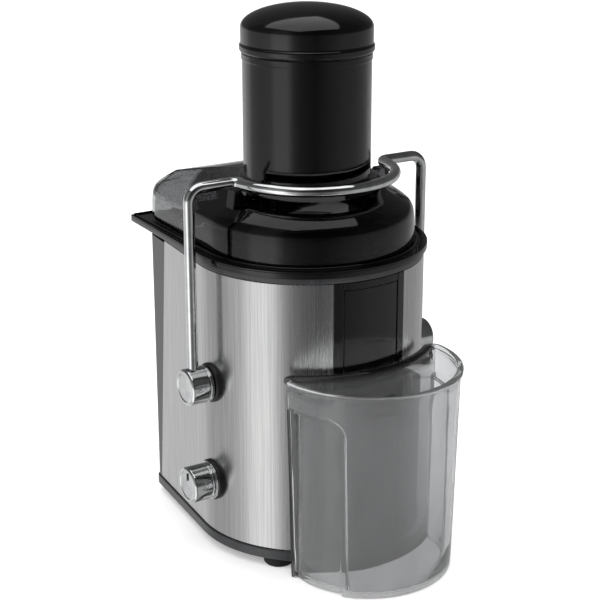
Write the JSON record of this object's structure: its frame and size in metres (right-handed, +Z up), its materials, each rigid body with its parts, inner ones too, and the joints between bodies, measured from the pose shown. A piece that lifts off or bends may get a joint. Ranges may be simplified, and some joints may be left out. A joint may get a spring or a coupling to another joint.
{
  "type": "centrifugal juicer",
  "caption": "Upright centrifugal juicer with a wide feed tube and pusher, wire locking bail, brushed steel body and docked juice container",
  "frame": {"origin": "on the table surface, under the middle of the part's bounding box", "axes": "+Z up along the drive spindle, +X towards the rounded nose and the juice container, -Y towards the front with the two knobs"},
  "size_m": [0.245, 0.1902, 0.353],
  "materials": {
    "gloss_black": "high gloss",
    "satin_black": "fine satin",
    "dark_grey": "satin",
    "brushed_skin": "vertical brushing",
    "chrome": "polished",
    "smoky_lid": "clear smoky",
    "smoky_cup": "clear smoky",
    "foot_rubber": "matt",
    "seal_rubber": "matt",
    "cast_alloy": "as cast",
    "bearing_steel": "ground",
    "screw_steel": "zinc plated",
    "lamination": "varnished",
    "copper": "enamelled",
    "brush_brass": "dull",
    "carbon": "matt",
    "switch_plastic": "matt",
    "switch_red": "matt",
    "ivory_plastic": "matt",
    "basket_steel": "etched"
  },
  "bodies": {
    "base": {"feet": "foot_rubber", "foot_screws": "screw_steel", "base_plate": "satin_black", "base_trim": "dark_grey", "housing": "satin_black", "steel_front": "brushed_skin", "steel_back": "brushed_skin", "nose_column": "gloss_black", "nose_panel": "gloss_black", "top_trim": "dark_grey", "motor_deck": "satin_black", "juice_spout": "gloss_black", "collector": "gloss_black", "collector_seal": "seal_rubber", "lid": "smoky_lid", "pivot_rings": "satin_black", "pivot_bushings": "ivory_plastic", "speed_knob_base": "satin_black", "cord_gland": "satin_black", "lower_bracket": "cast_alloy", "upper_bracket": "cast_alloy", "lower_bearing": "bearing_steel", "upper_bearing": "bearing_steel", "motor_mounts": "foot_rubber", "stator_core": "lamination", "field_coils": "copper", "tie_bolts": "screw_steel", "brush_holders": "brush_brass", "carbon_brushes": "carbon", "speed_switch": "switch_plastic", "interlock_switch": "switch_red", "terminal_block": "ivory_plastic"},
    "rotor": {"motor_shaft": "bearing_steel", "armature": "lamination", "commutator": "copper", "cooling_fan": "dark_grey", "drive_coupling": "satin_black", "basket_hub": "satin_black", "grater_disc": "basket_steel", "filter_mesh": "basket_steel", "basket_rim": "basket_steel", "hub_nut": "basket_steel"},
    "pusher": {"pusher_body": "gloss_black", "pusher_cap": "gloss_black"},
    "bail": {"bail_wire": "chrome", "bail_knobs": "chrome", "bail_pins": "bearing_steel"},
    "speed_knob": {"speed_knob": "chrome", "speed_stem": "ivory_plastic"},
    "interlock_plunger": {"interlock_plunger": "ivory_plastic"},
    "juice_container": {"juice_container": "smoky_cup"},
    "pulp_bin": {"pulp_bin": "gloss_black"}
  },
  "joints": [
    {"name": "spindle_spin", "type": "hinge", "parent": "base", "child": "rotor", "pos_m": [-0.0085, 0, 0.15], "axis": [0, 0, 1], "continuous": true},
    {"name": "pusher_lift", "type": "slide", "parent": "base", "child": "pusher", "axis": [0, 0, 1], "range_m": [0, 0.17]},
    {"name": "bail_swing", "type": "hinge", "parent": "base", "child": "bail", "pos_m": [-0.0047, 0, 0.1174], "axis": [0, 1, 0], "range_deg": [0, 55]},
    {"name": "speed_knob_turn", "type": "hinge", "parent": "base", "child": "speed_knob", "pos_m": [-0.0047, -0.087, 0.0494], "axis": [0, -1, 0], "range_deg": [-45, 90]},
    {"name": "interlock_press", "type": "slide", "parent": "base", "child": "interlock_plunger", "axis": [0, 0, 1], "range_m": [0, 0.0017]},
    {"name": "juice_container_pull", "type": "slide", "parent": "base", "child": "juice_container", "axis": [1, 0, 0], "range_m": [0, 0.15]},
    {"name": "pulp_bin_pull", "type": "slide", "parent": "base", "child": "pulp_bin", "axis": [-1, 0, 0], "range_m": [0, 0.1]}
  ],
  "couplings": [
    {"joint": "interlock_press", "follows": "bail_swing", "m_per_rad": 0.00177}
  ]
}
